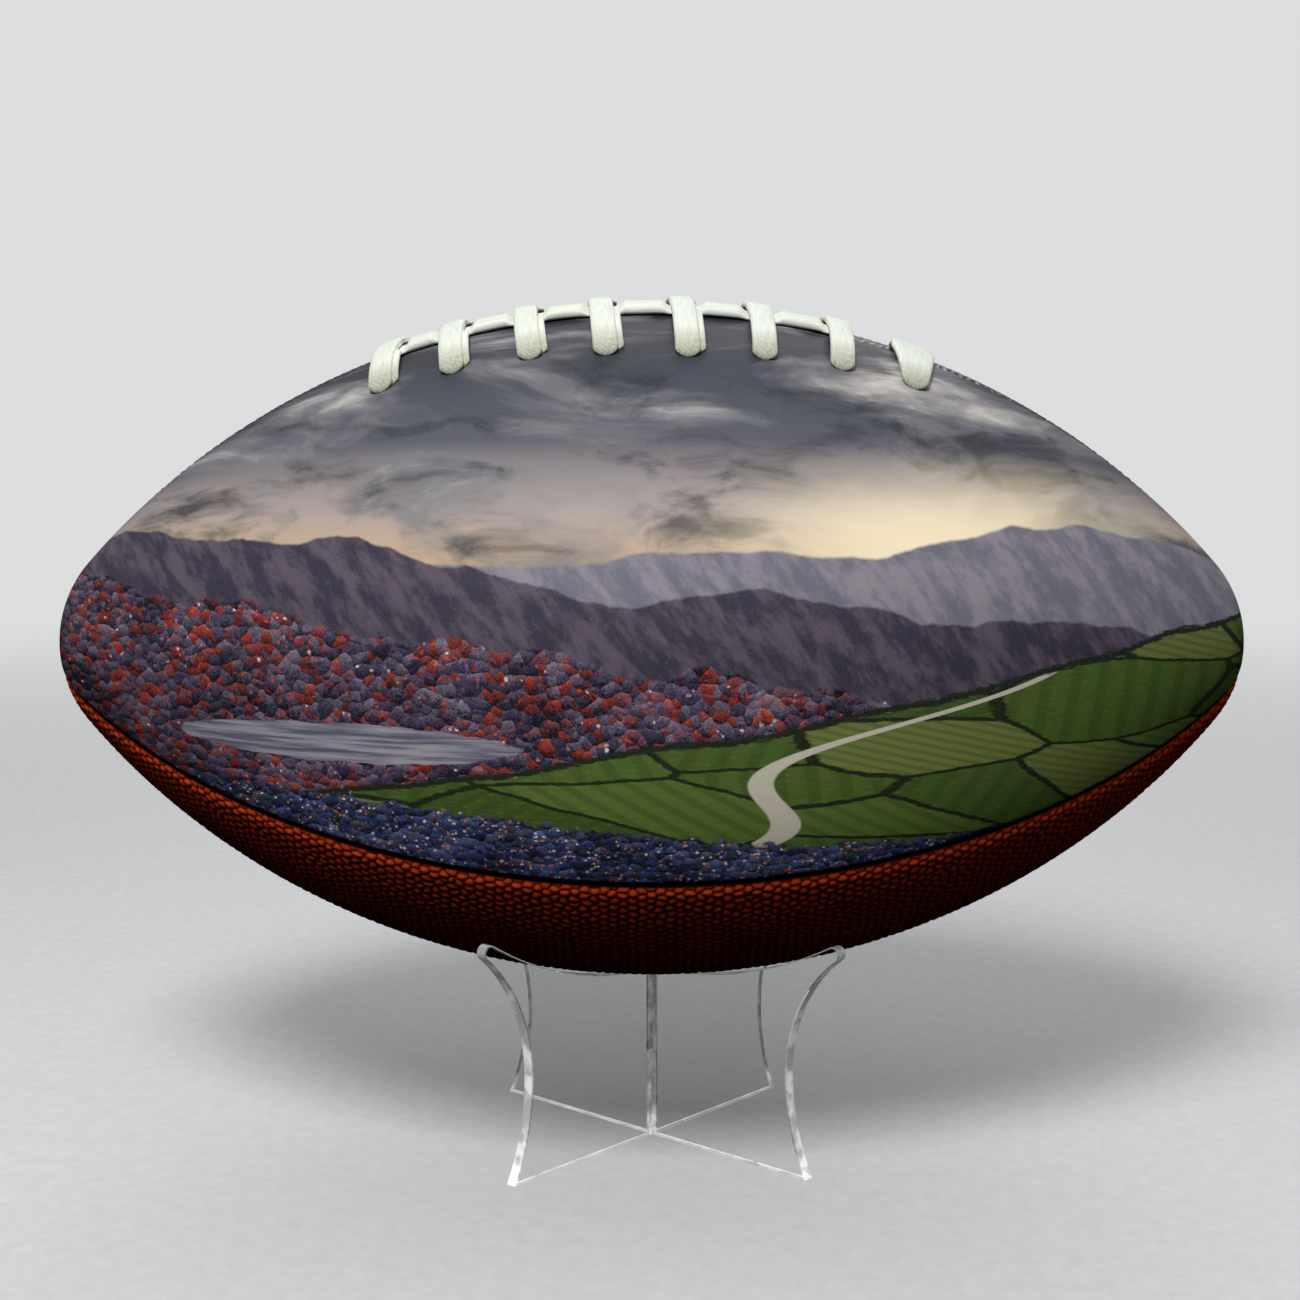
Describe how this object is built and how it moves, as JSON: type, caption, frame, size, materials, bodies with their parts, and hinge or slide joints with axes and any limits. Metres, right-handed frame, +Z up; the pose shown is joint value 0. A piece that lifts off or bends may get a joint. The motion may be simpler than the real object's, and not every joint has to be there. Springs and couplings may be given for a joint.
{
  "type": "football on display stand",
  "caption": "Laced American football with a printed upper panel, lying in the cradle of a clear stand made of crossed sheets that slot together.",
  "frame": {"origin": "on the surface the stand's feet rest on, under the middle of the ball, where the two sheets cross", "axes": "+Z up, +X along the ball's long axis, the printed panel faces -Y"},
  "size_m": [0.286, 0.1604, 0.2071],
  "materials": {
    "clear_acrylic": "clear, polished edges",
    "printed_leather": "printed scene under a satin coat",
    "leather": "pebbled, satin",
    "lining_cloth": "woven cotton",
    "backing_leather": "plain flesh side",
    "lace": "fibrous, matte",
    "bladder_rubber": "smooth",
    "valve_rubber": "smooth",
    "thread": "waxed"
  },
  "bodies": {
    "lower_sheet": {"cradle_panel_lower": "clear_acrylic"},
    "upper_sheet": {"cradle_panel_upper": "clear_acrylic"},
    "football": {"picture_panel": "printed_leather", "rear_upper_panel": "leather", "lower_front_panel": "leather", "lower_rear_panel": "leather", "picture_lining": "lining_cloth", "rear_upper_lining": "lining_cloth", "lower_front_lining": "lining_cloth", "lower_rear_lining": "lining_cloth", "front_lace_facing": "backing_leather", "rear_lace_facing": "backing_leather", "lace_tongue": "backing_leather", "cross_lace": "lace", "centre_lace": "lace", "bladder": "bladder_rubber", "valve": "valve_rubber", "lace_seam_thread": "thread", "front_seam_thread": "thread", "rear_seam_thread": "thread", "bottom_seam_thread": "thread"}
  },
  "joints": [
    {"name": "upper_sheet_lift", "type": "slide", "parent": "lower_sheet", "child": "upper_sheet", "axis": [0, 0, 1], "range_m": [0, 0.065]},
    {"name": "football_lift", "type": "slide", "parent": "upper_sheet", "child": "football", "axis": [0, 0, 1], "range_m": [0, 0.1]}
  ]
}
